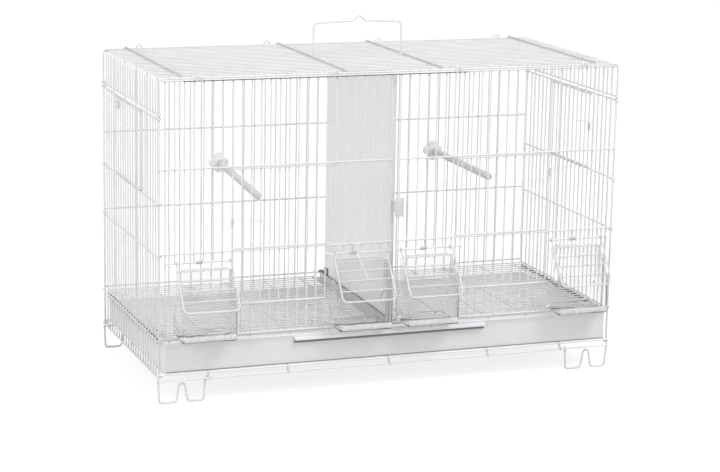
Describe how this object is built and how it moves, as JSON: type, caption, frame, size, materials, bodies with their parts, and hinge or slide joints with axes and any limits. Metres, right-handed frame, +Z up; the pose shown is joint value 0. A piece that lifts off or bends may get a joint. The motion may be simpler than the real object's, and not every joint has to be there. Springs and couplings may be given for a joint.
{
  "type": "bird breeding cage",
  "caption": "White wire breeding cage with a slide-out divider, floor grilles, tray, hinged doors, feeder flaps over clear cups, perches and a folding handle.",
  "frame": {"origin": "on the floor under the middle of the whole outline, feeder flaps and perch nuts included", "axes": "+X to the right seen from the front, +Y to the back, +Z up; the doors, cups and tray lip face -Y"},
  "size_m": [0.5976, 0.3124, 0.4436],
  "materials": {
    "white_wire": "satin white powder coat",
    "flap_wire": "satin white powder coat",
    "spring_wire": "bright drawn wire",
    "tray_sheet": "satin off-white with a lilac tint",
    "divider_sheet": "satin off-white paint on sheet",
    "clip_metal": "dull grey",
    "clear_cup": "clear moulded polystyrene",
    "perch_plastic": "satin light grey"
  },
  "bodies": {
    "cage": {"front_panel": "white_wire", "back_panel": "white_wire", "left_side_panel": "white_wire", "right_side_panel": "white_wire", "top_panel": "white_wire", "base_frame": "white_wire", "foot_front_left": "white_wire", "foot_front_right": "white_wire", "foot_back_left": "white_wire", "foot_back_right": "white_wire", "divider_rail": "white_wire", "divider_top_guide": "white_wire", "divider_back_clip": "clip_metal", "flap_spring_1": "spring_wire", "flap_spring_2": "spring_wire", "flap_spring_3": "spring_wire", "flap_spring_4": "spring_wire", "feeder_cup_1": "clear_cup", "feeder_cup_2": "clear_cup", "feeder_cup_3": "clear_cup", "feeder_cup_4": "clear_cup", "left_perch": "perch_plastic", "right_perch": "perch_plastic", "left_perch_cap": "perch_plastic", "right_perch_cap": "perch_plastic", "left_perch_nut": "perch_plastic", "right_perch_nut": "perch_plastic", "top_clips": "white_wire"},
    "tray": {"tray": "tray_sheet"},
    "left_grille": {"left_floor_grille": "white_wire"},
    "right_grille": {"right_floor_grille": "white_wire"},
    "divider": {"divider": "divider_sheet", "divider_pull": "divider_sheet"},
    "left_front_door": {"left_front_door": "white_wire"},
    "right_front_door": {"right_front_door": "white_wire"},
    "left_side_door": {"left_side_door": "white_wire"},
    "right_side_door": {"right_side_door": "white_wire"},
    "left_front_latch": {"left_front_latch": "white_wire"},
    "right_front_latch": {"right_front_latch": "white_wire"},
    "left_side_latch": {"left_side_latch": "white_wire"},
    "right_side_latch": {"right_side_latch": "white_wire"},
    "flap_1": {"feeder_flap_1": "flap_wire"},
    "flap_2": {"feeder_flap_2": "flap_wire"},
    "flap_3": {"feeder_flap_3": "flap_wire"},
    "flap_4": {"feeder_flap_4": "flap_wire"},
    "handle": {"carry_handle": "white_wire"}
  },
  "joints": [
    {"name": "tray_slide", "type": "slide", "parent": "cage", "child": "tray", "axis": [0, -1, 0], "range_m": [0, 0.255]},
    {"name": "left_grille_slide", "type": "slide", "parent": "cage", "child": "left_grille", "axis": [0, -1, 0], "range_m": [0, 0.25]},
    {"name": "right_grille_slide", "type": "slide", "parent": "cage", "child": "right_grille", "axis": [0, -1, 0], "range_m": [0, 0.25]},
    {"name": "divider_slide", "type": "slide", "parent": "cage", "child": "divider", "axis": [0, -1, 0], "range_m": [0, 0.25]},
    {"name": "left_front_door_hinge", "type": "hinge", "parent": "cage", "child": "left_front_door", "pos_m": [-0.08231, -0.11606, 0.234], "axis": [0, 0, 1], "range_deg": [0, 90]},
    {"name": "right_front_door_hinge", "type": "hinge", "parent": "cage", "child": "right_front_door", "pos_m": [0.08231, -0.11606, 0.234], "axis": [0, 0, -1], "range_deg": [0, 90]},
    {"name": "left_side_door_hinge", "type": "hinge", "parent": "cage", "child": "left_side_door", "pos_m": [-0.2953, -0.03581, 0.2942], "axis": [0, 0, 1], "range_deg": [0, 125]},
    {"name": "right_side_door_hinge", "type": "hinge", "parent": "cage", "child": "right_side_door", "pos_m": [0.2953, 0.0704, 0.2942], "axis": [0, 0, 1], "range_deg": [0, 125]},
    {"name": "left_front_latch_turn", "type": "hinge", "parent": "left_front_door", "child": "left_front_latch", "pos_m": [-0.20579, -0.11606, 0.2165], "axis": [0, 0, -1], "range_deg": [0, 90]},
    {"name": "right_front_latch_turn", "type": "hinge", "parent": "right_front_door", "child": "right_front_latch", "pos_m": [0.20579, -0.11606, 0.2585], "axis": [0, 0, 1], "range_deg": [0, 90]},
    {"name": "left_side_latch_turn", "type": "hinge", "parent": "left_side_door", "child": "left_side_latch", "pos_m": [-0.2953, 0.0763, 0.3325], "axis": [0, 0, -1], "range_deg": [0, 90]},
    {"name": "right_side_latch_turn", "type": "hinge", "parent": "right_side_door", "child": "right_side_latch", "pos_m": [0.2953, -0.04171, 0.3005], "axis": [0, 0, -1], "range_deg": [0, 90]},
    {"name": "flap_1_hinge", "type": "hinge", "parent": "cage", "child": "flap_1", "pos_m": [-0.24073, -0.11808, 0.1713], "axis": [-1, 0, 0], "range_deg": [0, 100], "stiffness_Nm_per_rad": 0.01, "springref_deg": -57.3, "deforming": ["flap_spring_1"]},
    {"name": "flap_2_hinge", "type": "hinge", "parent": "cage", "child": "flap_2", "pos_m": [-0.04366, -0.11808, 0.1713], "axis": [-1, 0, 0], "range_deg": [0, 100], "stiffness_Nm_per_rad": 0.01, "springref_deg": -57.3, "deforming": ["flap_spring_2"]},
    {"name": "flap_3_hinge", "type": "hinge", "parent": "cage", "child": "flap_3", "pos_m": [0.04366, -0.11808, 0.1713], "axis": [-1, 0, 0], "range_deg": [0, 100], "stiffness_Nm_per_rad": 0.01, "springref_deg": -57.3, "deforming": ["flap_spring_3"]},
    {"name": "flap_4_hinge", "type": "hinge", "parent": "cage", "child": "flap_4", "pos_m": [0.246, -0.11808, 0.1713], "axis": [-1, 0, 0], "range_deg": [0, 100], "stiffness_Nm_per_rad": 0.01, "springref_deg": -57.3, "deforming": ["flap_spring_4"]},
    {"name": "handle_fold", "type": "hinge", "parent": "cage", "child": "handle", "pos_m": [0, 0.01729, 0.391], "axis": [1, 0, 0], "range_deg": [0, 88]}
  ]
}
